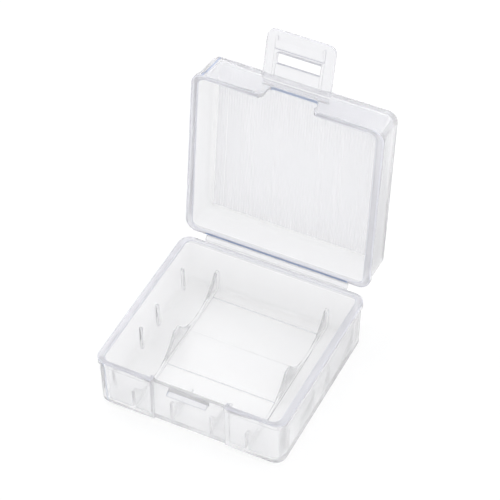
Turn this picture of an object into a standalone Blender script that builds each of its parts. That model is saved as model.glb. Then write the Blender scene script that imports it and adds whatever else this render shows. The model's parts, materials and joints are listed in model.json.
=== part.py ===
"""Hinged storage case for two large cylindrical cells, moulded in one piece of polypropylene.

Metres, +Z up. The origin is the middle of the tray's underside: X runs along the hinge, the hinge
is at +Y and the latch at -Y. Both halves are trays of one kind, modelled as they leave the mould,
open side up and hinge line level, then turned about their folds to the half-open rest position.
"""

import math

import bmesh
import bpy
from mathutils import Matrix

MM = 0.001

# Case, its width measured over the rim beads
CASE_WIDTH = 75.0 * MM
BASE_HEIGHT = 21.6 * MM
LID_HEIGHT = 15.4 * MM
CORNER_RADIUS = 4.6 * MM

# Moulded walls
WALL = 1.35 * MM
SIDE_WALL = 2.4 * MM
FLOOR = 1.2 * MM
DRAFT = math.radians(1.2)
FOOT_RADIUS = 1.0 * MM
INNER_FILLET = 1.2 * MM
BEAD_STEP = 0.5 * MM
BEAD_HEIGHT = 2.3 * MM

# Cells and the cradles that carry them; the case is as deep as two cradles side by side
CELL_DIAMETER = 32.2 * MM
CRADLE_CLEARANCE = 0.48 * MM
CRADLE_LIFT = 0.3 * MM
CRADLE_X = 22.6 * MM
CRADLE_THICKNESS = 1.15 * MM
CRADLE_PEAK = 10.2 * MM

# End stops on the side walls, in pairs about each cell
STOP_SPREAD = 10.2 * MM
STOP_WIDTH = 1.0 * MM
STOP_RISE = 0.9 * MM
STOP_HEIGHT = 12.0 * MM

# Thin windows in the floor between the cradles
POCKET_NEAR = 9.2 * MM
POCKET_FAR = 28.1 * MM
POCKET_DEPTH = 0.4 * MM

# Recess and catch in the front wall
RECESS_WIDTH = 28.6 * MM
RECESS_DEPTH = 1.05 * MM
RECESS_DROP = 1.8 * MM
RECESS_RADIUS = 1.0 * MM
CATCH_WIDTH = 15.7 * MM
CATCH_REACH = 2.7 * MM
CATCH_DROP = 4.1 * MM
CATCH_NOSE = 0.6 * MM
CATCH_HEIGHT = 2.0 * MM
GUSSET_X = 7.9 * MM
GUSSET_THICKNESS = 1.0 * MM

# Living hinge
HINGE_WIDTH = 57.8 * MM
HINGE_THICKNESS = 0.9 * MM
FOLD_DROP = 1.3 * MM
FOLD_OFFSET = 0.75 * MM
FOLD_GAP = 0.4 * MM
FOLD_LAND = 0.2 * MM
RIM_GAP = 0.25 * MM

# Fine grooves over the inside of the lid's panel, from the hinge side to the latch side
FLUTE_PITCH = 1.0 * MM
FLUTE_DEPTH = 0.15 * MM

# Latch on the lid
NOTCH_WIDTH = 19.6 * MM
NOTCH_DEPTH = 7.3 * MM
NOTCH_RADIUS = 2.3 * MM
LATCH_DROP = 7.7 * MM
LATCH_OFFSET = 1.95 * MM
LATCH_WIDTH = 26.4 * MM
LATCH_ROOT_WIDTH = 25.6 * MM
LATCH_LENGTH = 20.4 * MM
LATCH_THICKNESS = 1.2 * MM
LATCH_TIP_RADIUS = 3.0 * MM
LATCH_ROOT_RADIUS = 0.8 * MM
WINDOW_START = 7.6 * MM
WINDOW_CLEARANCE = 0.5 * MM
SNAP_CLEARANCE = 0.2 * MM
HOOK_LENGTH = 4.6 * MM
HOOK_RISE = 0.8 * MM
STIFFENER_X = 9.1 * MM
STIFFENER_WIDTH = 1.0 * MM
STIFFENER_RISE = 0.6 * MM
STIFFENER_START = 2.05 * MM
STIFFENER_END = 1.8 * MM

# Rest position, as angles from the flat, freshly moulded state
LID_OPEN = math.radians(96.5)
WEB_REST = math.radians(59.5)
LATCH_LEAN = math.radians(8.0)

# Fineness of round stretches, and how far a cutter or a root runs past a face
CORNER_STEPS = 8
EDGE_STEPS = 3
CRADLE_STEPS = 14
OVERRUN = 1.0 * MM
MARGIN = 0.1 * MM

# Sizes that follow from the ones above
CRADLE_RADIUS = CELL_DIAMETER / 2 + CRADLE_CLEARANCE
CELL_AXIS = CRADLE_RADIUS
BAY_DEPTH = 2 * CRADLE_RADIUS
WALL_WIDTH = CASE_WIDTH - 2 * BEAD_STEP
WALL_DEPTH = 2 * (BAY_DEPTH + WALL + (BASE_HEIGHT - FLOOR) * math.tan(DRAFT))
CASE_DEPTH = WALL_DEPTH + 2 * BEAD_STEP
WALL_RADIUS = CORNER_RADIUS - BEAD_STEP
CAVITY_RADIUS = max(WALL_RADIUS - WALL, INNER_FILLET + MARGIN)
RIB_ROOT = (FLOOR - POCKET_DEPTH) / 2
LID_REST = math.pi - LID_OPEN - WEB_REST
WEB_LENGTH = 2 * FOLD_DROP + RIM_GAP
CATCH_UNDERSIDE = BASE_HEIGHT - CATCH_DROP
CATCH_BELOW_FOLD = LATCH_DROP + RIM_GAP + CATCH_DROP
WINDOW_END = CATCH_BELOW_FOLD + SNAP_CLEARANCE

# Turns an outline's own X, Y and thickness to the case's Y, Z and X, or to X, Z and -Y
SIDE_ON = Matrix(((0, 0, 1, 0), (1, 0, 0, 0), (0, 1, 0, 0), (0, 0, 0, 1)))
FRONT_ON = Matrix(((1, 0, 0, 0), (0, 0, -1, 0), (0, 1, 0, 0), (0, 0, 0, 1)))


def clear_scene():
    """Remove every object and collection that the file holds."""
    for obj in list(bpy.data.objects):
        bpy.data.objects.remove(obj, do_unlink=True)
    for collection in list(bpy.data.collections):
        bpy.data.collections.remove(collection)


def new_collection(name):
    collection = bpy.data.collections.new(name)
    bpy.context.scene.collection.children.link(collection)
    return collection


def polypropylene(name):
    """Natural, slightly cloudy polypropylene with a moulded satin face."""
    material = bpy.data.materials.new(name)
    material.use_nodes = True
    shader = material.node_tree.nodes["Principled BSDF"]
    shader.inputs["Base Color"].default_value = (0.86, 0.87, 0.89, 1.0)
    shader.inputs["Roughness"].default_value = 0.35
    shader.inputs["Metallic"].default_value = 0.0
    shader.inputs["IOR"].default_value = 1.49
    shader.inputs["Transmission Weight"].default_value = 0.6
    return material


def finish_solid(obj, material):
    """Give a finished piece its material and round shading."""
    obj.data.materials.clear()
    obj.data.materials.append(material)
    obj.data.shade_smooth()
    obj.data.set_sharp_from_angle(angle=math.radians(30))


def as_cutter(obj):
    obj.hide_render = True
    obj.display_type = "WIRE"
    return obj


def combine(target, tool, operation):
    """Cut a tool from the target or join it on; the tool rides in the target's frame."""
    tool.parent = target
    modifier = target.modifiers.new(f"{operation.lower()} {tool.name}", "BOOLEAN")
    modifier.operation = operation
    modifier.solver = "EXACT"
    modifier.object = tool


def cut(target, tool):
    combine(target, tool, "DIFFERENCE")


def join(target, tool):
    combine(target, tool, "UNION")


def inset_at(below_rim):
    """How far a drafted wall has come in at a level below its rim."""
    return below_rim * math.tan(DRAFT)


def drafted_block(name, collection, size, radius, rim, low, high, centre=0.0, foot=0.0, draft=DRAFT):
    """Block with rounded corners whose width and depth hold at rim level and shrink below it."""
    mesh = bpy.data.meshes.new(name)
    bm = bmesh.new()
    bmesh.ops.create_cube(bm, size=2.0)
    for vert in bm.verts:
        level = high if vert.co.z > 0 else low
        inset = (rim - level) * math.tan(draft)
        vert.co.x *= size[0] / 2 - inset
        vert.co.y = centre + vert.co.y * (size[1] / 2 - inset)
        vert.co.z = level
    uprights = [edge for edge in bm.edges if abs(edge.verts[0].co.z - edge.verts[1].co.z) > (high - low) / 2]
    bmesh.ops.bevel(bm, geom=uprights, offset=radius, segments=CORNER_STEPS, profile=0.5, affect="EDGES")
    if foot > 0:
        ring = [edge for edge in bm.edges if all(vert.co.z < low + MARGIN for vert in edge.verts)]
        bmesh.ops.bevel(bm, geom=ring, offset=foot, segments=EDGE_STEPS, profile=0.5, affect="EDGES")
    bm.to_mesh(mesh)
    bm.free()
    obj = bpy.data.objects.new(name, mesh)
    collection.objects.link(obj)
    return obj


def arc(centre, radius, start, end, steps):
    """Points on an arc about a centre, both ends included."""
    angles = [start + (end - start) * step / steps for step in range(steps + 1)]
    return [(centre[0] + radius * math.cos(a), centre[1] + radius * math.sin(a)) for a in angles]


def rounded(corners, steps=EDGE_STEPS + 1):
    """Outline through corners given as (x, y, radius), with an arc at each corner that has a radius."""
    outline = []
    count = len(corners)
    for index, (x, y, radius) in enumerate(corners):
        if radius <= 0:
            outline.append((x, y))
            continue
        before = corners[index - 1]
        after = corners[(index + 1) % count]
        to_before = math.atan2(before[1] - y, before[0] - x)
        to_after = math.atan2(after[1] - y, after[0] - x)
        turn = (to_after - to_before + math.pi) % (2 * math.pi) - math.pi
        reach = radius / math.sin(abs(turn) / 2)
        middle = to_before + turn / 2
        centre = (x + reach * math.cos(middle), y + reach * math.sin(middle))
        side = math.copysign(math.pi / 2, turn)
        sweep = math.copysign(math.pi - abs(turn), turn)
        outline += arc(centre, radius, to_before - side, to_before - side - sweep, steps)
    return outline


def box_corners(x_low, x_high, y_low, y_high, radius=0.0):
    return [(x_low, y_low, radius), (x_high, y_low, radius), (x_high, y_high, radius), (x_low, y_high, radius)]


def plate(name, collection, outlines, low, high, turn=None):
    """Flat solid between two levels from closed outlines; a second outline inside the first is a hole."""
    curve = bpy.data.curves.new(name, "CURVE")
    curve.dimensions = "2D"
    curve.fill_mode = "BOTH"
    curve.extrude = (high - low) / 2
    for outline in outlines:
        spline = curve.splines.new("POLY")
        spline.points.add(len(outline) - 1)
        for point, (x, y) in zip(spline.points, outline):
            point.co = (x, y, 0.0, 1.0)
        spline.use_cyclic_u = True
    source = bpy.data.objects.new(name + "_outline", curve)
    bpy.context.scene.collection.objects.link(source)
    evaluated = source.evaluated_get(bpy.context.evaluated_depsgraph_get())
    mesh = bpy.data.meshes.new_from_object(evaluated)
    bpy.data.objects.remove(source, do_unlink=True)
    bm = bmesh.new()
    bm.from_mesh(mesh)
    bmesh.ops.remove_doubles(bm, verts=bm.verts, dist=0.001 * MM)
    bmesh.ops.translate(bm, verts=bm.verts, vec=(0.0, 0.0, (low + high) / 2))
    if turn is not None:
        bmesh.ops.transform(bm, matrix=turn, verts=bm.verts)
    bmesh.ops.recalc_face_normals(bm, faces=bm.faces)
    bm.to_mesh(mesh)
    bm.free()
    obj = bpy.data.objects.new(name, mesh)
    collection.objects.link(obj)
    return obj


def leaf(root, tip, level, thickness, both_ends=False):
    """Cross-section of a hinge leaf, full thickness at its root and thinned to a land at its tip."""
    half = thickness / 2
    land = FOLD_LAND / 2
    slope = math.copysign(half - land, tip - root)
    near = [(root, level - half), (root, level + half)]
    if both_ends:
        near = [(root + slope, level - half), (root, level - land), (root, level + land), (root + slope, level + half)]
    far = [(tip - slope, level + half), (tip, level + land), (tip, level - land), (tip - slope, level - half)]
    return near + far


def tray(name, parts, cutters, centre, rim, height):
    """Open tray with drafted walls, a rim bead, rounded corners and a flat floor."""
    foot = rim - height
    obj = drafted_block(name, parts, (WALL_WIDTH, WALL_DEPTH), WALL_RADIUS, rim, foot,
                        rim - BEAD_HEIGHT / 2, centre, FOOT_RADIUS)
    bead = drafted_block(name + "_bead", cutters, (CASE_WIDTH, CASE_DEPTH), CORNER_RADIUS, rim,
                         rim - BEAD_HEIGHT, rim, centre, draft=0.0)
    cavity = drafted_block(name + "_cavity", cutters, (WALL_WIDTH - 2 * SIDE_WALL, WALL_DEPTH - 2 * WALL),
                           CAVITY_RADIUS, rim, foot + FLOOR, rim + OVERRUN, centre, INNER_FILLET)
    join(obj, as_cutter(bead))
    cut(obj, as_cutter(cavity))
    return obj, cavity


def recess_profile(setback, low, high):
    """Upright strip in front of a plane parallel to the tray's front wall, set back from its face."""
    face = WALL_DEPTH / 2 - setback
    return [(-CASE_DEPTH / 2 - OVERRUN, low), (inset_at(BASE_HEIGHT - low) - face, low),
            (inset_at(BASE_HEIGHT - high) - face, high), (-CASE_DEPTH / 2 - OVERRUN, high)]


def front_recess(base, cavity, cutters):
    """Set the middle of the front wall back, with its own backing wall and a lowered top."""
    backing = plate("recess_backing", cutters, [recess_profile(RECESS_DEPTH + WALL, 0.0, BASE_HEIGHT + 2 * OVERRUN)],
                    -RECESS_WIDTH / 2 - WALL, RECESS_WIDTH / 2 + WALL, SIDE_ON)
    cut(cavity, as_cutter(backing))
    recess = plate("recess", cutters, [recess_profile(RECESS_DEPTH, -OVERRUN, BASE_HEIGHT + OVERRUN)],
                   -RECESS_WIDTH / 2, RECESS_WIDTH / 2, SIDE_ON)
    cut(base, as_cutter(recess))
    top = rounded(box_corners(-RECESS_WIDTH / 2, RECESS_WIDTH / 2, BASE_HEIGHT - RECESS_DROP,
                              BASE_HEIGHT + 3 * OVERRUN, RECESS_RADIUS))
    inner = WALL_DEPTH / 2 - RECESS_DEPTH - WALL - OVERRUN
    lowered = plate("recess_top", cutters, [top], inner, CASE_DEPTH / 2 + OVERRUN, FRONT_ON)
    cut(base, as_cutter(lowered))


def catch_ledge(base, cutters):
    """Wedge on the recessed wall that the latch's hook drops behind."""
    def face(level):
        return inset_at(BASE_HEIGHT - level) - WALL_DEPTH / 2 + RECESS_DEPTH
    top = CATCH_UNDERSIDE + CATCH_HEIGHT
    nose = face(CATCH_UNDERSIDE) - CATCH_REACH
    outline = [(face(CATCH_UNDERSIDE) + WALL / 2, CATCH_UNDERSIDE), (nose, CATCH_UNDERSIDE),
               (nose, CATCH_UNDERSIDE + CATCH_NOSE), (face(top), top), (face(top) + WALL / 2, top)]
    ledge = plate("catch_ledge", cutters, [outline], -CATCH_WIDTH / 2, CATCH_WIDTH / 2, SIDE_ON)
    join(base, as_cutter(ledge))


def cradle_arc(axis, start_level, end_level):
    """Hollow that carries one cell, from the level on its -Y side to the level on its +Y side."""
    centre = (axis, FLOOR + CRADLE_LIFT + CRADLE_RADIUS)
    start = -math.pi + math.asin((centre[1] - start_level) / CRADLE_RADIUS)
    end = -math.asin((centre[1] - end_level) / CRADLE_RADIUS)
    return arc(centre, CRADLE_RADIUS, start, end, CRADLE_STEPS)


def cradle_ribs(base, cutters):
    """Two ribs across the tray, each with a round hollow for either cell and a peak between them."""
    reach = BAY_DEPTH + WALL / 2
    hollows = cradle_arc(-CELL_AXIS, CRADLE_PEAK, CRADLE_PEAK) + cradle_arc(CELL_AXIS, CRADLE_PEAK, CRADLE_PEAK)
    outline = [(reach, RIB_ROOT), (-reach, RIB_ROOT), (-reach, CRADLE_PEAK)] + hollows + [(reach, CRADLE_PEAK)]
    for side, x in (("left", -CRADLE_X), ("right", CRADLE_X)):
        rib = plate("cradle_rib_" + side, cutters, [outline], x - CRADLE_THICKNESS / 2,
                    x + CRADLE_THICKNESS / 2, SIDE_ON)
        join(base, as_cutter(rib))


def front_gussets(base, cutters):
    """Two short webs that brace the front wall behind the catch and follow the cell's curve."""
    reach = BAY_DEPTH - RECESS_DEPTH + WALL / 2
    hollow = cradle_arc(-CELL_AXIS, CRADLE_PEAK, CRADLE_PEAK)[:CRADLE_STEPS // 2 + 1]
    outline = [(-CELL_AXIS, RIB_ROOT), (-reach, RIB_ROOT), (-reach, CRADLE_PEAK)] + hollow
    for side, x in (("left", -GUSSET_X), ("right", GUSSET_X)):
        gusset = plate("front_gusset_" + side, cutters, [outline], x - GUSSET_THICKNESS / 2,
                       x + GUSSET_THICKNESS / 2, SIDE_ON)
        join(base, as_cutter(gusset))


def end_stops(base, cutters):
    """Short upright ribs on the side walls that centre the cells end to end."""
    foot_face = WALL_WIDTH / 2 - SIDE_WALL - inset_at(BASE_HEIGHT - FLOOR)
    outer = foot_face + WALL / 2
    inner = foot_face - STOP_RISE
    for side in (-1, 1):
        outline = [(side * outer, RIB_ROOT), (side * inner, RIB_ROOT), (side * inner, STOP_HEIGHT),
                   (side * outer, STOP_HEIGHT)]
        for cell in (-1, 1):
            for flank in (-1, 1):
                y = cell * CELL_AXIS + flank * STOP_SPREAD
                name = f"end_stop_{'left' if side < 0 else 'right'}_{(cell + 1) + (flank + 1) // 2}"
                stop = plate(name, cutters, [outline], -y - STOP_WIDTH / 2, -y + STOP_WIDTH / 2, FRONT_ON)
                join(base, as_cutter(stop))


def floor_pockets(base, cutters):
    """Two thinned windows in the floor, one under each cell."""
    for side, near, far in (("front", -POCKET_FAR, -POCKET_NEAR), ("back", POCKET_NEAR, POCKET_FAR)):
        outline = rounded(box_corners(-CRADLE_X, CRADLE_X, near, far))
        pocket = plate("floor_pocket_" + side, cutters, [outline], FLOOR - POCKET_DEPTH, FLOOR + OVERRUN)
        cut(base, as_cutter(pocket))


def base_tray(parts, cutters):
    base, cavity = tray("base_tray", parts, cutters, 0.0, BASE_HEIGHT, BASE_HEIGHT)
    front_recess(base, cavity, cutters)
    floor_pockets(base, cutters)
    cradle_ribs(base, cutters)
    front_gussets(base, cutters)
    end_stops(base, cutters)
    catch_ledge(base, cutters)
    outline = leaf(WALL_DEPTH / 2 - WALL / 2, CASE_DEPTH / 2 + FOLD_OFFSET - FOLD_GAP / 2,
                   BASE_HEIGHT - FOLD_DROP, HINGE_THICKNESS)
    flange = plate("base_flange", cutters, [outline], -HINGE_WIDTH / 2, HINGE_WIDTH / 2, SIDE_ON)
    join(base, as_cutter(flange))
    finish_solid(base, polypropylene("base polypropylene"))
    return base


def hinge_web(parts, base):
    """Strap between the two folds, with its origin on the fold at the base."""
    outline = leaf(FOLD_GAP / 2, WEB_LENGTH - FOLD_GAP / 2, 0.0, HINGE_THICKNESS, both_ends=True)
    web = plate("hinge_web", parts, [outline], -HINGE_WIDTH / 2, HINGE_WIDTH / 2, SIDE_ON)
    web.parent = base
    web.location = (0.0, CASE_DEPTH / 2 + FOLD_OFFSET, BASE_HEIGHT - FOLD_DROP)
    web.rotation_euler.x = WEB_REST
    finish_solid(web, polypropylene("hinge polypropylene"))
    return web


def panel_flutes(lid, cutters, centre):
    """Cut fine side-by-side grooves into the flat of the lid's panel, clear of its fillets."""
    level = FOLD_DROP - LID_HEIGHT + FLOOR
    inset = inset_at(LID_HEIGHT - FLOOR) + INNER_FILLET + MARGIN
    half_width = WALL_WIDTH / 2 - SIDE_WALL - inset
    half_depth = WALL_DEPTH / 2 - WALL - inset
    count = int(2 * half_width / FLUTE_PITCH)
    first = -count * FLUTE_PITCH / 2
    teeth = [(first, level)]
    for index in range(count):
        teeth.append((first + (index + 0.5) * FLUTE_PITCH, level - FLUTE_DEPTH))
        teeth.append((first + (index + 1) * FLUTE_PITCH, level))
    outline = teeth + [(-first, level + OVERRUN), (first, level + OVERRUN)]
    flutes = plate("panel_flutes", cutters, [outline], -centre - half_depth, -centre + half_depth, FRONT_ON)
    cut(lid, as_cutter(flutes))


def lid_shell(parts, cutters, web):
    """Lid with its origin on the fold between it and the web."""
    centre = FOLD_OFFSET + CASE_DEPTH / 2
    lid, cavity = tray("lid_shell", parts, cutters, centre, FOLD_DROP, LID_HEIGHT)
    panel_flutes(lid, cutters, centre)
    front = centre + WALL_DEPTH / 2
    mouth = NOTCH_WIDTH / 2 + NOTCH_RADIUS + OVERRUN
    corners = [(-mouth, FOLD_DROP + OVERRUN, 0.0), (-mouth, FOLD_DROP + MARGIN, 0.0),
               (-NOTCH_WIDTH / 2, FOLD_DROP + MARGIN, NOTCH_RADIUS),
               (-NOTCH_WIDTH / 2, FOLD_DROP - NOTCH_DEPTH, NOTCH_RADIUS),
               (NOTCH_WIDTH / 2, FOLD_DROP - NOTCH_DEPTH, NOTCH_RADIUS),
               (NOTCH_WIDTH / 2, FOLD_DROP + MARGIN, NOTCH_RADIUS),
               (mouth, FOLD_DROP + MARGIN, 0.0), (mouth, FOLD_DROP + OVERRUN, 0.0)]
    notch = plate("latch_notch", cutters, [rounded(corners)], -front - BEAD_STEP - OVERRUN,
                  -front + WALL + 2 * OVERRUN, FRONT_ON)
    cut(lid, as_cutter(notch))
    root = leaf(FOLD_OFFSET + BEAD_STEP + WALL / 2, FOLD_GAP / 2, 0.0, HINGE_THICKNESS)
    flange = plate("lid_flange", cutters, [root], -HINGE_WIDTH / 2, HINGE_WIDTH / 2, SIDE_ON)
    join(lid, as_cutter(flange))
    face = front - inset_at(LATCH_DROP)
    shelf = leaf(face - WALL / 2, face + LATCH_OFFSET - FOLD_GAP / 2, FOLD_DROP - LATCH_DROP, LATCH_THICKNESS)
    ledge = plate("latch_ledge", cutters, [shelf], -LATCH_ROOT_WIDTH / 2, LATCH_ROOT_WIDTH / 2, SIDE_ON)
    join(lid, as_cutter(ledge))
    lid.parent = web
    lid.location = (0.0, WEB_LENGTH, 0.0)
    lid.rotation_euler.x = LID_REST
    finish_solid(lid, polypropylene("lid polypropylene"))
    return lid


def latch_tab(parts, cutters, lid):
    """Latch with its origin on its fold: a plate with a window, a hook bar and two stiffeners."""
    half = LATCH_THICKNESS / 2
    edge = LATCH_WIDTH / 2
    body = rounded([(-edge, FOLD_GAP / 2, LATCH_ROOT_RADIUS), (edge, FOLD_GAP / 2, LATCH_ROOT_RADIUS),
                    (edge, LATCH_LENGTH, LATCH_TIP_RADIUS), (-edge, LATCH_LENGTH, LATCH_TIP_RADIUS)])
    window_half = CATCH_WIDTH / 2 + WINDOW_CLEARANCE
    window = rounded(box_corners(-window_half, window_half, WINDOW_START, WINDOW_END))
    latch = plate("latch_tab", parts, [body, window], -half, half)
    bar = rounded(box_corners(-STIFFENER_X, STIFFENER_X, WINDOW_END, WINDOW_END + HOOK_LENGTH))
    hook = plate("hook_bar", cutters, [bar], 0.0, half + HOOK_RISE)
    join(latch, as_cutter(hook))
    for side, x in (("left", -STIFFENER_X), ("right", STIFFENER_X)):
        outline = rounded(box_corners(x - STIFFENER_WIDTH / 2, x + STIFFENER_WIDTH / 2, STIFFENER_START,
                                      LATCH_LENGTH - STIFFENER_END, STIFFENER_WIDTH * 0.45))
        stiffener = plate("latch_stiffener_" + side, cutters, [outline], 0.0, half + STIFFENER_RISE)
        join(latch, as_cutter(stiffener))
    slope = half - FOLD_LAND / 2
    for side, sign in (("inner", 1), ("outer", -1)):
        groove = [(FOLD_GAP / 2 - MARGIN, sign * (FOLD_LAND / 2 - MARGIN)),
                  (FOLD_GAP / 2 + slope + MARGIN, sign * (half + MARGIN)),
                  (FOLD_GAP / 2 - MARGIN, sign * (half + MARGIN))]
        groove_cut = plate("latch_groove_" + side, cutters, [groove], -LATCH_WIDTH, LATCH_WIDTH, SIDE_ON)
        cut(latch, as_cutter(groove_cut))
    latch.parent = lid
    latch.location = (0.0, FOLD_OFFSET + CASE_DEPTH - BEAD_STEP - inset_at(LATCH_DROP) + LATCH_OFFSET,
                      FOLD_DROP - LATCH_DROP)
    latch.rotation_euler.x = -LATCH_LEAN
    finish_solid(latch, polypropylene("latch polypropylene"))
    return latch


def main():
    clear_scene()
    parts = new_collection("battery storage box")
    cutters = new_collection("cutters")
    base = base_tray(parts, cutters)
    web = hinge_web(parts, base)
    lid = lid_shell(parts, cutters, web)
    latch_tab(parts, cutters, lid)


main()
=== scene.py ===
"""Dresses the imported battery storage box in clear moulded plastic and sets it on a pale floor."""

import json
import math

import bmesh
import bpy
from mathutils import Matrix, Vector


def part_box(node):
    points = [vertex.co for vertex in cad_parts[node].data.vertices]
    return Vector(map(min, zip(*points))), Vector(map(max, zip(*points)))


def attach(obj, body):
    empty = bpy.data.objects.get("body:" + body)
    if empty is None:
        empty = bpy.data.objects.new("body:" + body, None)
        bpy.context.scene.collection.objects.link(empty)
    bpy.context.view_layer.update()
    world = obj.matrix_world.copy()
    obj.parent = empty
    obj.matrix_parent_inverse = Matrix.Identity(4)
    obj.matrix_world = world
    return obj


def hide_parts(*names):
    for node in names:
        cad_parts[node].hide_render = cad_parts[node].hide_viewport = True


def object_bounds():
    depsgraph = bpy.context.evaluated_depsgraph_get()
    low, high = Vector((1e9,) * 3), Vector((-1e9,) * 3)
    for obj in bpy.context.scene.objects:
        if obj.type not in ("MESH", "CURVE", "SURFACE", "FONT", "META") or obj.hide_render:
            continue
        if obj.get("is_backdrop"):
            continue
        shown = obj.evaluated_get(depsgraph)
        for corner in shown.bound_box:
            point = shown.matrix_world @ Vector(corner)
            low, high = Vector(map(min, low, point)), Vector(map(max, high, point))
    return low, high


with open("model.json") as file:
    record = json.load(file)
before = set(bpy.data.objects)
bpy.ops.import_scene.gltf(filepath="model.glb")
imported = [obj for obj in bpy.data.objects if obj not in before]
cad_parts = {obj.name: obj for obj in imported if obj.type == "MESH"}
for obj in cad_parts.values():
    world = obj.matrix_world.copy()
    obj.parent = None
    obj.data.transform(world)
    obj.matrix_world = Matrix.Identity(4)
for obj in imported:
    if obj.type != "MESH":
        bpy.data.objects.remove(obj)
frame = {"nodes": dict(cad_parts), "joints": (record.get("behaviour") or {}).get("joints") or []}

bl_info = {
    "name": "Battery Storage Box",
    "version": (1, 0, 0),
    "blender": (4, 5, 0),
    "location": "View3D > Sidebar > Storage Box",
    "description": "Dresses the hinged battery box in clear moulded plastic, with its stage",
    "category": "Object",
}

# Frames of the lid and the latch: x along the fold, y away from it, z out of the inner side.
FOLDS = {joint["name"]: Vector(joint["pos_m"]) for joint in frame["joints"]}
LID_PLACE = Matrix.Translation(FOLDS["lid_fold"]) @ Matrix.Rotation(math.radians(83.5), 4, "X")
LATCH_PLACE = Matrix.Translation(FOLDS["latch_fold"]) @ Matrix.Rotation(math.radians(75.5), 4, "X")

# Heights on the tray, each with how near to it a face counts as lying on it.
TRAY_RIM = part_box("base_tray")[1].z
RIM_BAND = 0.0001
RECESS_TOP, RECESS_NEAR = TRAY_RIM - 0.0018, 0.0002
CATCH_UNDER, CATCH_NEAR = TRAY_RIM - 0.0041, 0.0003
FOOT_BAND = 0.001

# Heights and places on the lid, in its own frame.
LID_RIM = 0.0013
LID_FOOT = LID_RIM - 0.0154
NOTCH_FLOOR, NOTCH_NEAR = LID_RIM - 0.0073, 0.0004
NOTCH_HALF = 0.0098
NOTCH_SPAN = (0.0694, 0.07105)
HINGE_HALF = 0.0289
FOLD_BAND, FOLD_LEVEL = 0.0018, 0.0003
PANEL_LEVEL = -0.0129
PANEL_CENTRE = 0.0361873
FLUTE_DEPTH = 0.00015
FLUTE_NEAR = FLUTE_DEPTH * 0.1
FLUTE_LEVELS = (PANEL_LEVEL - FLUTE_DEPTH - FLUTE_NEAR, PANEL_LEVEL + FLUTE_NEAR)

# Places on the latch, in its own frame.
WINDOW = (0.0073, 0.0126)
HOOK_LINE = (0.0136, 0.014)
RIB_INNER, RIB_OUTER = 0.0086, 0.0099
LATCH_FACE = 0.0006
LATCH_SIDE = 0.0125
LATCH_END = 0.019

# Planes at which the faces are split, so that paint can end there: a spot on each and its direction.
ACROSS, ALONG = (1, 0, 0), (0, 1, 0)
LATCH_SPLITS = tuple(((0.0, y, 0.0), ALONG) for y in HOOK_LINE)
LID_SPLITS = (((0.0, NOTCH_SPAN[1], 0.0), ALONG), ((0.0, FOLD_BAND, 0.0), ALONG),
              ((NOTCH_HALF, 0.0, 0.0), ACROSS), ((-NOTCH_HALF, 0.0, 0.0), ACROSS),
              ((HINGE_HALF, 0.0, 0.0), ACROSS), ((-HINGE_HALF, 0.0, 0.0), ACROSS))

# How far from the middle of the case its outer walls, corners and side rims begin.
WALL_REACH = 0.03
CORNER_START = 0.0335
SIDE_RIM = 0.033

# Limits on the parts of a face's normal, which tell the way it looks.
UPRIGHT = 0.3
FACING = 0.3
FLAT = 0.9
UNDERSIDE = 0.98
INWARD = -0.7
DOWNWARD = -0.2
WINDOW_END = 0.5
CORNER_FACET = (-0.2, -0.05)

# Painted layers: painted shade darkens rims, rounded edges, feet, walls and flute grooves, painted dark
# reflection makes the blue and grey lines, and the veil makes the plastic hazier. Up to the shade share,
# painted shade darkens the plastic and leaves it clear.
SHADE_LAYER, REFLECTION_LAYER, VEIL = "painted shade share", "painted dark reflection share", "veil share"
SHADE_SHARE = 0.25
RIM_SHADE = 0.9
EDGE_SHADE = 0.5
ROUNDED_LEAST = 0.4
FOOT_SHADE = 0.6
REAR_RIM_PART = 0.25
RECESS_SHADE = 0.2
TRAY_WALL_SHADE = 0.05
LID_WALL_SHADE = 0.1
LATCH_SHADE = 0.15
TRAY_CORNER_REFLECTION = 0.4
LID_CORNER_REFLECTION = 0.75
CATCH_REFLECTION = 0.12
CATCH_EDGE_REFLECTION = 0.8
NOTCH_REFLECTION = 0.8
FOLD_REFLECTION = 1.0
LINE_REFLECTION = 0.75
RIB_REFLECTION = 0.55
WINDOW_SIDE_REFLECTION = 0.3
GROOVE_VEIL = 0.1
PANEL_VEIL = 0.2

# Mesh work: distances at which corners are joined, angles, and steps of the rounding.
WELD, SLIVER_WELD = 1e-6, 4e-5
SAME_PLANE = math.radians(0.5)
SHARP_ANGLE = math.radians(35.0)
CREASE_ANGLE = math.radians(30.0)
RIM_STEPS, EDGE_STEPS = 3, 2
HINGE_ROUND_PART = 1.0 / 3.0
LATCH_ROUND_PART = 0.6

# Skin of the plastic.
WAVE_SCALE, GRAIN_SCALE = 90.0, 1400.0
BLUR_SPREAD = 0.3
SKIN_DEPTH = 0.000004

# Stage.
WHITE = (1.0, 1.0, 1.0, 1.0)
SKY_TOP = (0.96, 0.965, 0.98, 1.0)
SKY_SPAN = (0.15, 0.75)
FLOOR_HALF = 8.0
FLOOR_GAP = 0.0001
KEY_SPOT, KEY_SIZE = (-0.5, 0.3, 0.9), 0.6
FILL_SPOT, FILL_SIZE, FILL_PART = (0.7, 0.2, 0.5), 0.5, 0.4
LIGHT_TARGET = (0.0, 0.01, 0.04)
SENSOR_WIDTH = 36.0


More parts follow.
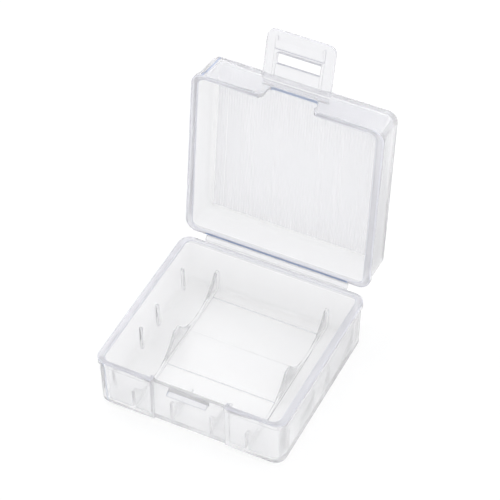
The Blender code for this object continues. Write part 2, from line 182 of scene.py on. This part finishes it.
class PlasticLook(bpy.types.PropertyGroup):
    """How the clear moulded plastic looks."""

    tint: bpy.props.FloatVectorProperty(
        name="Tint", description="Colour that light takes on in the plastic", subtype="COLOR",
        size=3, min=0.0, max=1.0, default=(0.975, 0.975, 0.98))
    # Painted shade: the rim shade tint darkens rims, feet, rounded edges, flute grooves and in part the
    # walls.
    rim_shade_tint: bpy.props.FloatVectorProperty(
        name="Rim Shade Tint", description="Colour of rims, feet and rounded edges, in part also of walls",
        subtype="COLOR", size=3, min=0.0, max=1.0, default=(0.68, 0.68, 0.75))
    # Painted dark reflection: blue lines in the hinge fold, the latch notch, two corners and under the
    # catch.
    blue_reflection_tint: bpy.props.FloatVectorProperty(
        name="Blue Reflection Tint", description="Blue in the hinge fold, the latch notch, two corners and the catch",
        subtype="COLOR", size=3, min=0.0, max=1.0, default=(0.28, 0.34, 0.5))
    # Painted dark reflection: grey lines on the latch's cut faces and ribs.
    line_reflection_tint: bpy.props.FloatVectorProperty(
        name="Line Reflection Tint", description="Grey of the latch's cut faces and ribs, seen edge on",
        subtype="COLOR", size=3, min=0.0, max=1.0, default=(0.4, 0.4, 0.47))
    rim_clearness: bpy.props.FloatProperty(
        name="Rim Clearness", description="Share of the light that passes through edges and rims",
        subtype="FACTOR", min=0.0, max=1.0, default=0.35)
    clearness: bpy.props.FloatProperty(
        name="Clearness", description="Share of the light that passes instead of scattering",
        subtype="FACTOR", min=0.0, max=1.0, default=0.78)
    bending: bpy.props.FloatProperty(
        name="Bending", description="Index at which the thin plastic bends light",
        min=1.0, max=2.0, default=1.18)
    absorbed: bpy.props.FloatVectorProperty(
        name="Depth Colour", description="Colour that long paths inside the plastic take on",
        subtype="COLOR", size=3, min=0.0, max=1.0, default=(0.45, 0.46, 0.58))
    density: bpy.props.FloatProperty(
        name="Depth Density", description="How fast the plastic takes up light, for each metre",
        min=0.0, max=1000.0, default=5.0)
    gloss_blur: bpy.props.FloatProperty(
        name="Surface Blur", description="Roughness of the moulded skin", subtype="FACTOR",
        min=0.0, max=1.0, default=0.16)
    edge_round: bpy.props.FloatProperty(
        name="Edge Rounding", description="Width of the rounding on the moulded edges",
        subtype="DISTANCE", unit="LENGTH", min=0.0, max=0.001, precision=5, default=0.00015)
    rim_round: bpy.props.FloatProperty(
        name="Rim Rounding", description="Width of the rounding along the rims", subtype="DISTANCE",
        unit="LENGTH", min=0.0, max=0.001, precision=5, default=0.00045)
    ripple: bpy.props.FloatProperty(
        name="Flow Ripple", description="Depth of the slow waves that the melt leaves in the skin",
        subtype="DISTANCE", unit="LENGTH", min=0.0, max=0.0005, precision=6, default=0.00002)


class StageLook(bpy.types.PropertyGroup):
    """Floor, light and camera of the picture."""

    floor_colour: bpy.props.FloatVectorProperty(
        name="Floor Colour", description="Colour of the floor", subtype="COLOR", size=3,
        min=0.0, max=1.0, default=(0.96, 0.96, 0.96))
    shadow: bpy.props.FloatProperty(
        name="Shadow Depth", description="How much of the object's shadow the floor keeps",
        subtype="FACTOR", min=0.0, max=1.0, default=0.2)
    key_power: bpy.props.FloatProperty(
        name="Key Light", description="Power of the large soft light overhead", subtype="POWER",
        unit="POWER", min=0.0, max=500.0, default=3.2)
    bounces: bpy.props.IntProperty(
        name="Light Bounces", description="How often light may turn back inside the clear plastic",
        min=4, max=64, default=24)
    lens: bpy.props.FloatProperty(
        name="Lens", description="Focal length of the camera", subtype="DISTANCE_CAMERA",
        unit="CAMERA", min=10.0, max=400.0, default=179.926)
    eye: bpy.props.FloatVectorProperty(
        name="Camera Place", description="Where the camera stands", subtype="TRANSLATION",
        unit="LENGTH", size=3, precision=5, default=(0.278141, -0.547302, 0.678091))
    turn: bpy.props.FloatVectorProperty(
        name="Camera Turn", description="How the camera is turned", subtype="EULER",
        unit="ROTATION", size=3, precision=5,
        default=tuple(math.radians(a) for a in (44.8574, 0.172, 26.1407)))


def set_values(node, values):
    """Write plain values into a node's inputs and return the node."""
    for socket, value in values.items():
        node.inputs[socket].default_value = value
    return node


def maths(tree, operation, first, second=0.0):
    """A Math node on two sockets or numbers; returns its output."""
    node = tree.nodes.new("ShaderNodeMath")
    node.operation = operation
    for socket, value in zip(node.inputs, (first, second)):
        if isinstance(value, (int, float)):
            socket.default_value = value
        else:
            tree.links.new(value, socket)
    return node.outputs["Value"]


def blend_colour(tree, share, first, second):
    """A colour mix between two colours or sockets; returns its output."""
    node = tree.nodes.new("ShaderNodeMix")
    node.data_type = "RGBA"
    tree.links.new(share, node.inputs["Factor"])
    for name, value in (("A", first), ("B", second)):
        if isinstance(value, bpy.types.NodeSocket):
            tree.links.new(value, node.inputs[name])
        else:
            node.inputs[name].default_value = (*value, 1.0)
    return node.outputs["Result"]


def painted(tree, layer):
    """The share that a painted layer holds on each face."""
    node = tree.nodes.new("ShaderNodeAttribute")
    node.attribute_name = layer
    return node.outputs["Fac"]


def moulded_plastic(name, look, reflection_tint):
    """Clear, slightly hazy moulded plastic with flow ripples, a fine skin, painted shade and painted dark
    reflection.
    """
    material = bpy.data.materials.new(name)
    material.use_nodes = True
    tree = material.node_tree
    nodes, links = tree.nodes, tree.links
    shader = set_values(nodes["Principled BSDF"], {"IOR": look.bending})
    place = nodes.new("ShaderNodeTexCoord").outputs["Object"]
    wave = set_values(nodes.new("ShaderNodeTexNoise"), {"Scale": WAVE_SCALE, "Detail": 1.0})
    grain = set_values(nodes.new("ShaderNodeTexNoise"), {"Scale": GRAIN_SCALE, "Detail": 3.0})
    for noise in (wave, grain):
        links.new(place, noise.inputs["Vector"])
    sheen = set_values(nodes.new("ShaderNodeMapRange"), {
        "To Min": look.gloss_blur * (1.0 - BLUR_SPREAD), "To Max": look.gloss_blur * (1.0 + BLUR_SPREAD)})
    links.new(grain.outputs["Fac"], sheen.inputs["Value"])
    links.new(sheen.outputs["Result"], shader.inputs["Roughness"])
    flow = set_values(nodes.new("ShaderNodeBump"), {"Strength": 0.6, "Distance": look.ripple})
    skin = set_values(nodes.new("ShaderNodeBump"), {"Strength": 0.3, "Distance": SKIN_DEPTH})
    links.new(wave.outputs["Fac"], flow.inputs["Height"])
    links.new(grain.outputs["Fac"], skin.inputs["Height"])
    links.new(flow.outputs["Normal"], skin.inputs["Normal"])
    links.new(skin.outputs["Normal"], shader.inputs["Normal"])
    depth = set_values(nodes.new("ShaderNodeVolumeAbsorption"), {
        "Color": (*look.absorbed, 1.0), "Density": look.density})
    links.new(depth.outputs["Volume"], nodes["Material Output"].inputs["Volume"])
    edge, dark_reflection, veil = painted(tree, SHADE_LAYER), painted(tree, REFLECTION_LAYER), painted(tree, VEIL)
    # Painted shade blends the tint towards the rim shade tint, painted dark reflection towards the
    # reflection tint.
    tone = blend_colour(tree, edge, look.tint, look.rim_shade_tint)
    links.new(blend_colour(tree, dark_reflection, tone, reflection_tint), shader.inputs["Base Color"])
    passing = set_values(nodes.new("ShaderNodeMapRange"), {
        "From Min": SHADE_SHARE, "To Min": look.clearness, "To Max": look.rim_clearness})
    links.new(edge, passing.inputs["Value"])
    reflectionless, veilless = maths(tree, "SUBTRACT", 1.0, dark_reflection), maths(tree, "SUBTRACT", 1.0, veil)
    bare = maths(tree, "MULTIPLY", reflectionless, veilless)
    clear = maths(tree, "MULTIPLY", passing.outputs["Result"], bare)
    links.new(clear, shader.inputs["Transmission Weight"])
    return material


def sharp_edges(skin):
    """Edges between faces that meet at a clear angle."""
    return [edge for edge in skin.edges
            if len(edge.link_faces) == 2 and edge.calc_face_angle() > SHARP_ANGLE]


def round_edges(skin, edges, width, steps, layer, share):
    """Round these edges and paint the new faces with a share of painted shade."""
    made = bmesh.ops.bevel(skin, geom=edges, offset=width, segments=steps, profile=0.5,
                           affect="EDGES", clamp_overlap=False)
    for face in made["faces"]:
        face[layer] = share


def joined_skin(node):
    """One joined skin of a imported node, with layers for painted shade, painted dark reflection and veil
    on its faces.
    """
    skin = bmesh.new()
    skin.from_mesh(frame["nodes"][node].data)
    bmesh.ops.remove_doubles(skin, verts=skin.verts, dist=WELD)
    bmesh.ops.dissolve_limit(skin, angle_limit=SAME_PLANE, verts=skin.verts, edges=skin.edges)
    bmesh.ops.remove_doubles(skin, verts=skin.verts, dist=SLIVER_WELD)
    bmesh.ops.recalc_face_normals(skin, faces=skin.faces)
    for name in (SHADE_LAYER, REFLECTION_LAYER, VEIL):
        skin.faces.layers.float.new(name)
    return skin


def at_level(edge, place, level):
    """True where both ends of an edge lie at a level of the piece's own frame."""
    return all(abs((place @ vert.co).z - level) < SLIVER_WELD for vert in edge.verts)


def split_faces(skin, place, spot, along):
    """Split every face that crosses a plane of the piece's own frame."""
    back = place.inverted()
    bmesh.ops.bisect_plane(skin, geom=skin.verts[:] + skin.edges[:] + skin.faces[:], dist=WELD,
                           plane_co=back @ Vector(spot), plane_no=back.to_3x3() @ Vector(along))


def dress(node, piece_name, body, look, place=Matrix(), rims=(), splits=(), edge_round=None, paint=None,
          reflection_tint=None, unrounded=(1.0, 1.0)):
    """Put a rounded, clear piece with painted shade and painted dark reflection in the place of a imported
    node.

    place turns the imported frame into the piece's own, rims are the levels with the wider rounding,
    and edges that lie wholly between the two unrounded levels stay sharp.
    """
    skin = joined_skin(node)
    layers = [skin.faces.layers.float[name] for name in (SHADE_LAYER, REFLECTION_LAYER, VEIL)]
    # Rounded rims and edges get painted shade on their new faces.
    for level in rims:
        rim = [edge for edge in sharp_edges(skin) if at_level(edge, place, level)]
        round_edges(skin, rim, look.rim_round, RIM_STEPS, layers[0], RIM_SHADE)
    low, high = unrounded
    edges = [edge for edge in sharp_edges(skin)
             if not all(low < (place @ vert.co).z < high for vert in edge.verts)]
    round_edges(skin, edges, edge_round or look.edge_round, EDGE_STEPS, layers[0], EDGE_SHADE)
    for spot, along in splits:
        split_faces(skin, place, spot, along)
    skin.normal_update()
    turn = place.to_3x3()
    # Each face takes its painted shade, painted dark reflection and veil from the paint rule.
    for face in skin.faces if paint else ():
        shares = paint(place @ face.calc_center_median(), turn @ face.normal, face[layers[0]])
        for layer, share in zip(layers, shares):
            face[layer] = share
    bmesh.ops.triangulate(skin, faces=skin.faces)
    mesh = bpy.data.meshes.new(piece_name)
    skin.to_mesh(mesh)
    skin.free()
    mesh.shade_smooth()
    mesh.set_sharp_from_angle(angle=CREASE_ANGLE)
    mesh.materials.append(moulded_plastic(piece_name + " plastic", look, reflection_tint or look.blue_reflection_tint))
    piece = bpy.data.objects.new(piece_name, mesh)
    bpy.context.scene.collection.objects.link(piece)
    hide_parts(node)
    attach(piece, body)


def faces_out(centre, normal, middle=0.0):
    """True for the faces of the outer walls, whose normals point away from the middle of the case."""
    reach = centre.x * normal.x + (centre.y - middle) * normal.y
    return abs(normal.z) < UPRIGHT and reach > WALL_REACH


def left_corner_facet(centre, normal):
    """True for the facet with which a rounded left corner of an outer wall begins."""
    return centre.x < 0.0 and CORNER_FACET[0] < normal.x < CORNER_FACET[1]


def paint_tray(centre, normal, edge):
    """Shares on the tray: painted shade on rims, walls and foot, painted dark reflection at the front left
    corner and the catch.
    """
    # Painted shade on the rims, less on the rear side rims and at the recess top, on the foot and on the
    # outer walls; painted blue reflection on the front left corner facet and under the catch.
    front = centre.y < -CORNER_START
    if centre.z > TRAY_RIM - RIM_BAND:
        edge = max(edge, EDGE_SHADE)
        if abs(centre.x) < SIDE_RIM and centre.y > 0.0:
            edge *= REAR_RIM_PART
    elif abs(centre.z - RECESS_TOP) < RECESS_NEAR:
        edge = min(edge, RECESS_SHADE)
    elif centre.z < FOOT_BAND and abs(normal.z) < UNDERSIDE and (front or centre.x > CORNER_START):
        edge = FOOT_SHADE
    elif faces_out(centre, normal):
        edge = max(edge, TRAY_WALL_SHADE)
        if front and left_corner_facet(centre, normal):
            return edge, TRAY_CORNER_REFLECTION
    if front and normal.z < DOWNWARD and abs(centre.z - CATCH_UNDER) < CATCH_NEAR:
        return edge, CATCH_EDGE_REFLECTION if edge > ROUNDED_LEAST else CATCH_REFLECTION
    return edge, 0.0


def paint_lid(centre, normal, edge):
    """Shares on the lid: painted shade on rims, walls and flute grooves, painted dark reflection on notch,
    fold and corner, a veiled panel.
    """
    top = centre.y > PANEL_CENTRE + CORNER_START
    # Painted shade in the flute grooves and a veil on the panel; painted blue reflection on the notch
    # floor, the hinge fold and the top left corner facet; painted shade on the rim, foot and walls.
    if FLUTE_LEVELS[0] < centre.z < PANEL_LEVEL - FLUTE_NEAR and normal.z > FACING:
        return SHADE_SHARE, 0.0, GROOVE_VEIL
    if abs(centre.z - PANEL_LEVEL) < FLUTE_NEAR and normal.z > FLAT:
        return 0.0, 0.0, PANEL_VEIL
    if NOTCH_SPAN[0] < centre.y < NOTCH_SPAN[1] and abs(centre.x) < NOTCH_HALF:
        if abs(centre.z - NOTCH_FLOOR) < NOTCH_NEAR and normal.z > FACING:
            return 0.0, NOTCH_REFLECTION
    if abs(centre.x) < HINGE_HALF and centre.y < FOLD_BAND and centre.z > FOLD_LEVEL:
        return 0.0, FOLD_REFLECTION
    low = centre.z < LID_FOOT + FOOT_BAND and abs(normal.z) < UNDERSIDE
    if centre.z > LID_RIM - RIM_BAND:
        edge = max(edge, EDGE_SHADE)
    elif low and (top or centre.x > CORNER_START):
        edge = FOOT_SHADE
    elif faces_out(centre, normal, PANEL_CENTRE):
        edge = max(edge, SHADE_SHARE if top else LID_WALL_SHADE)
        if top and left_corner_facet(centre, normal):
            return edge, LID_CORNER_REFLECTION
    elif top and normal.y < INWARD:
        edge = max(edge, SHADE_SHARE)
    return edge, 0.0


def paint_latch(centre, normal, edge):
    """Shares on the latch: painted dark reflection on window faces, hook line and ribs, painted shade on
    the outer faces.
    """
    side = abs(centre.x)
    cut = abs(normal.z) < FLAT
    # Painted grey reflection on the window's cut faces, the hook line and the ribs; painted shade over the
    # rest, stronger on the outer faces.
    if side < RIB_OUTER and cut and WINDOW[0] < centre.y < WINDOW[1]:
        return 0.0, LINE_REFLECTION if abs(normal.y) > WINDOW_END else WINDOW_SIDE_REFLECTION
    if side < RIB_OUTER and normal.z > FLAT and HOOK_LINE[0] < centre.y < HOOK_LINE[1]:
        return 0.0, LINE_REFLECTION
    if side > RIB_INNER and cut and centre.z > LATCH_FACE:
        return 0.0, RIB_REFLECTION
    outer = cut and (side > LATCH_SIDE or centre.y > LATCH_END)
    return (EDGE_SHADE if outer else LATCH_SHADE), 0.0


class STORAGEBOX_OT_tray(bpy.types.Operator):
    """Dress the tray that holds the two cells"""

    bl_idname = "storage_box.tray"
    bl_label = "Tray"

    def execute(self, context):
        dress("base_tray", "tray_shell", "base", context.scene.box_plastic,
              rims=(TRAY_RIM,), paint=paint_tray)
        return {"FINISHED"}


class STORAGEBOX_OT_hinge(bpy.types.Operator):
    """Dress the thin web between the two folds"""

    bl_idname = "storage_box.hinge"
    bl_label = "Hinge Web"

    def execute(self, context):
        look = context.scene.box_plastic
        dress("hinge_web", "hinge_strap", "web", look, edge_round=look.edge_round * HINGE_ROUND_PART)
        return {"FINISHED"}


class STORAGEBOX_OT_lid(bpy.types.Operator):
    """Dress the lid with its latch notch and fluted panel"""

    bl_idname = "storage_box.lid"
    bl_label = "Lid"

    def execute(self, context):
        dress("lid_shell", "lid_cover", "lid", context.scene.box_plastic,
              place=LID_PLACE.inverted(), rims=(LID_RIM,), splits=LID_SPLITS, paint=paint_lid,
              unrounded=FLUTE_LEVELS)
        return {"FINISHED"}


class STORAGEBOX_OT_latch(bpy.types.Operator):
    """Dress the latch tab"""

    bl_idname = "storage_box.latch"
    bl_label = "Latch Tab"

    def execute(self, context):
        look = context.scene.box_plastic
        dress("latch_tab", "latch_clasp", "latch", look,
              place=LATCH_PLACE.inverted(), splits=LATCH_SPLITS, paint=paint_latch,
              edge_round=look.edge_round * LATCH_ROUND_PART, reflection_tint=look.line_reflection_tint)
        return {"FINISHED"}


def picture_rays(tree):
    """One for rays that look at the stage, straight or through gloss or plastic, else nought."""
    seen = tree.nodes.new("ShaderNodeLightPath").outputs
    mirrored = maths(tree, "MAXIMUM", seen["Is Glossy Ray"], seen["Is Transmission Ray"])
    return maths(tree, "MAXIMUM", seen["Is Camera Ray"], mirrored)


def stage_floor(look):
    """Wide plain floor that keeps part of the shadow."""
    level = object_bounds()[0].z - FLOOR_GAP
    corners = [(-FLOOR_HALF, -FLOOR_HALF, level), (FLOOR_HALF, -FLOOR_HALF, level),
               (FLOOR_HALF, FLOOR_HALF, level), (-FLOOR_HALF, FLOOR_HALF, level)]
    mesh = bpy.data.meshes.new("stage_floor")
    mesh.from_pydata(corners, [], [(0, 1, 2, 3)])
    material = bpy.data.materials.new("pale floor")
    material.use_nodes = True
    tree = material.node_tree
    nodes, links = tree.nodes, tree.links
    nodes.remove(nodes["Principled BSDF"])
    matt = set_values(nodes.new("ShaderNodeBsdfDiffuse"), {"Color": (*look.floor_colour, 1.0)})
    glow = nodes.new("ShaderNodeEmission")
    share = nodes.new("ShaderNodeMixShader")
    links.new(maths(tree, "MULTIPLY", picture_rays(tree), 1.0 - look.shadow), share.inputs["Fac"])
    links.new(matt.outputs["BSDF"], share.inputs[1])
    links.new(glow.outputs["Emission"], share.inputs[2])
    links.new(share.outputs["Shader"], nodes["Material Output"].inputs["Surface"])
    mesh.materials.append(material)
    floor = bpy.data.objects.new("stage_floor", mesh)
    bpy.context.scene.collection.objects.link(floor)
    floor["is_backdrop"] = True


def stage_sky():
    """World that is white to the camera and a soft studio gradient to the plastic."""
    world = bpy.data.worlds.new("studio sky")
    bpy.context.scene.world = world
    world.use_nodes = True
    tree = world.node_tree
    nodes, links = tree.nodes, tree.links
    place = nodes.new("ShaderNodeTexCoord")
    split = nodes.new("ShaderNodeSeparateXYZ")
    ramp = nodes.new("ShaderNodeValToRGB")
    for stop, height, colour in zip(ramp.color_ramp.elements, SKY_SPAN, (WHITE, SKY_TOP)):
        stop.position = height
        stop.color = colour
    pick = nodes.new("ShaderNodeMix")
    pick.data_type = "RGBA"
    pick.inputs["B"].default_value = WHITE
    links.new(place.outputs["Generated"], split.inputs["Vector"])
    links.new(split.outputs["Z"], ramp.inputs["Fac"])
    links.new(ramp.outputs["Color"], pick.inputs["A"])
    links.new(picture_rays(tree), pick.inputs["Factor"])
    links.new(pick.outputs["Result"], nodes["Background"].inputs["Color"])


def stage_light(name, place, size, power):
    """Large soft lamp aimed at the box."""
    lamp = bpy.data.lights.new(name, "AREA")
    lamp.shape, lamp.size, lamp.energy = "SQUARE", size, power
    light = bpy.data.objects.new(name, lamp)
    light.location = place
    light.rotation_euler = (Vector(LIGHT_TARGET) - Vector(place)).to_track_quat("-Z", "Y").to_euler()
    bpy.context.scene.collection.objects.link(light)


def stage_camera(look):
    """Camera at the picture's viewing angle."""
    lens = bpy.data.cameras.new("picture camera")
    lens.lens, lens.sensor_width = look.lens, SENSOR_WIDTH
    camera = bpy.data.objects.new("picture camera", lens)
    camera.location, camera.rotation_euler = look.eye, look.turn
    bpy.context.scene.collection.objects.link(camera)
    bpy.context.scene.camera = camera


class STORAGEBOX_OT_stage(bpy.types.Operator):
    """Make the floor, the sky, the lights and the camera"""

    bl_idname = "storage_box.stage"
    bl_label = "Stage"

    def execute(self, context):
        look, scene = context.scene.box_stage, context.scene
        stage_floor(look)
        stage_sky()
        stage_light("key light", KEY_SPOT, KEY_SIZE, look.key_power)
        stage_light("fill light", FILL_SPOT, FILL_SIZE, look.key_power * FILL_PART)
        stage_camera(look)
        scene.view_settings.view_transform = "Standard"
        scene.cycles.max_bounces = scene.cycles.transmission_bounces = look.bounces
        scene.cycles.glossy_bounces = look.bounces
        return {"FINISHED"}


STEPS = (STORAGEBOX_OT_tray, STORAGEBOX_OT_hinge, STORAGEBOX_OT_lid, STORAGEBOX_OT_latch,
         STORAGEBOX_OT_stage)


class STORAGEBOX_PT_panel(bpy.types.Panel):
    """Lists the looks and the steps of the storage box"""

    bl_label = "Storage Box"
    bl_idname = "STORAGEBOX_PT_panel"
    bl_space_type = "VIEW_3D"
    bl_region_type = "UI"
    bl_category = "Storage Box"

    def draw(self, context):
        for group in (context.scene.box_plastic, context.scene.box_stage):
            box = self.layout.box()
            for name in group.bl_rna.properties.keys():
                if name not in {"rna_type", "name"}:
                    box.prop(group, name)
        for step in STEPS:
            self.layout.operator(step.bl_idname)


CLASSES = (PlasticLook, StageLook, *STEPS, STORAGEBOX_PT_panel)


def register():
    """Register the looks, the steps and the panel."""
    for cls in CLASSES:
        bpy.utils.register_class(cls)
    bpy.types.Scene.box_plastic = bpy.props.PointerProperty(type=PlasticLook)
    bpy.types.Scene.box_stage = bpy.props.PointerProperty(type=StageLook)


def unregister():
    """Take the looks, the steps and the panel out again."""
    del bpy.types.Scene.box_stage, bpy.types.Scene.box_plastic
    for cls in reversed(CLASSES):
        bpy.utils.unregister_class(cls)


def main():
    """Register the looks and the steps, then run every step in order."""
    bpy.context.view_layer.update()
    register()
    for step in STEPS:
        group, name = step.bl_idname.split(".")
        getattr(getattr(bpy.ops, group), name)()


if __name__ == "__main__":
    main()
